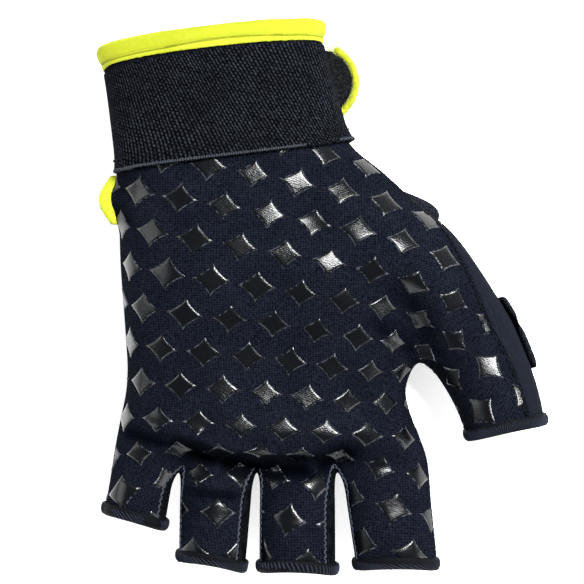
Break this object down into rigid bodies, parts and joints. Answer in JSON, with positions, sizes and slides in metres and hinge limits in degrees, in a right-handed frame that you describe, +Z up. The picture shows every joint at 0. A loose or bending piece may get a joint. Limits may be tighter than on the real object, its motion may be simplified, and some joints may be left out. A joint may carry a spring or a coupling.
{
  "type": "field hockey glove",
  "caption": "Half-finger glove for the left hand, hollow, with a wide elastic wrist strap, bright tape at the cuff, a printed grip palm and a padded back.",
  "frame": {"origin": "bottom centre of the glove as it lies on its padded back", "axes": "+X towards the thumb, +Y towards the cuff's opening, +Z up out of the palm"},
  "size_m": [0.1614, 0.1972, 0.0461],
  "materials": {
    "palm_knit": "fine dark navy knit with raised clear grip prints",
    "back_knit": "plain black stretch cloth",
    "side_twill": "fine charcoal twill",
    "gusset_knit": "black stretch knit",
    "hem_thread": "dark overlocked edge",
    "bright_tape": "matt neon yellow folded tape",
    "elastic": "black ribbed woven elastic with small bright flecks",
    "loop_pile": "black fuzzy loop pile",
    "pad_cloth": "black cloth over foam"
  },
  "bodies": {
    "root": {"palm_panel": "palm_knit", "back_panel": "back_knit", "thumb_side_panel": "side_twill", "gusset_little_ring": "gusset_knit", "gusset_ring_middle": "gusset_knit", "gusset_middle_index": "gusset_knit", "hem_little": "hem_thread", "hem_ring": "hem_thread", "hem_middle": "hem_thread", "hem_index": "hem_thread", "hem_thumb": "hem_thread", "cuff_binding": "bright_tape", "vent_binding": "bright_tape", "tab_binding": "bright_tape", "wrist_strap": "elastic", "strap_tab": "loop_pile", "hand_back_pad": "pad_cloth", "thumb_back_pad": "pad_cloth"}
  },
  "joints": []
}
